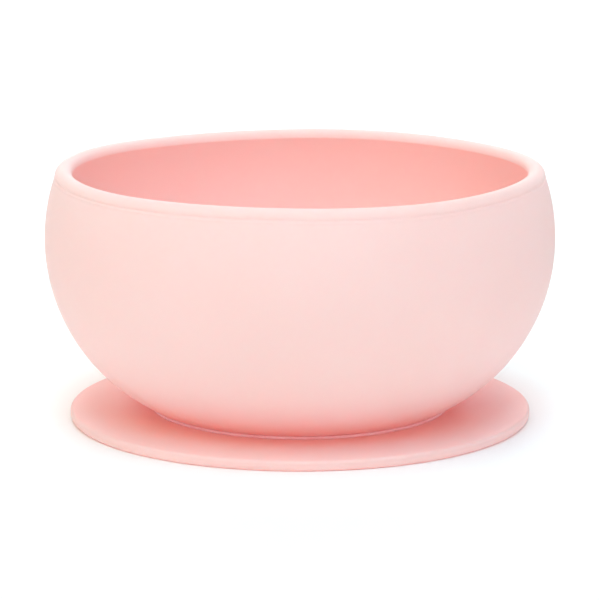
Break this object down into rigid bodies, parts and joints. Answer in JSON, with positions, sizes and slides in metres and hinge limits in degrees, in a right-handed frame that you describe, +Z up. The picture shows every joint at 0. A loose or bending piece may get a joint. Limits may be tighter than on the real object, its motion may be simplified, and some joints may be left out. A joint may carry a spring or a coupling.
{
  "type": "suction bowl",
  "caption": "Round thick-walled silicone feeding bowl with a rolled lip, bonded to a wide flat suction base that flexes as the bowl is pressed down.",
  "frame": {"origin": "centre of the suction base's underside, in the plane of the table it stands on", "axes": "+Z up, along the axis that every piece is turned about; X and Y lie in the table plane and are equivalent"},
  "size_m": [0.125, 0.125, 0.0623],
  "materials": {
    "bowl_silicone": "matte, soft-touch food-grade silicone, pale pink",
    "base_silicone": "matte food-grade silicone, pale pink, smoother on the sealing underside",
    "bond_silicone": "satin cured silicone adhesive, pale greyish pink"
  },
  "bodies": {
    "base": {"suction_base": "base_silicone"},
    "bowl": {"bowl": "bowl_silicone", "adhesive_bond": "bond_silicone"}
  },
  "joints": [
    {"name": "suction_press", "type": "slide", "parent": "base", "child": "bowl", "axis": [0, 0, 1], "range_m": [-0.0011, 0], "stiffness_N_per_m": 8000, "springref_m": 0.0004, "deforming": ["suction_base"]}
  ]
}
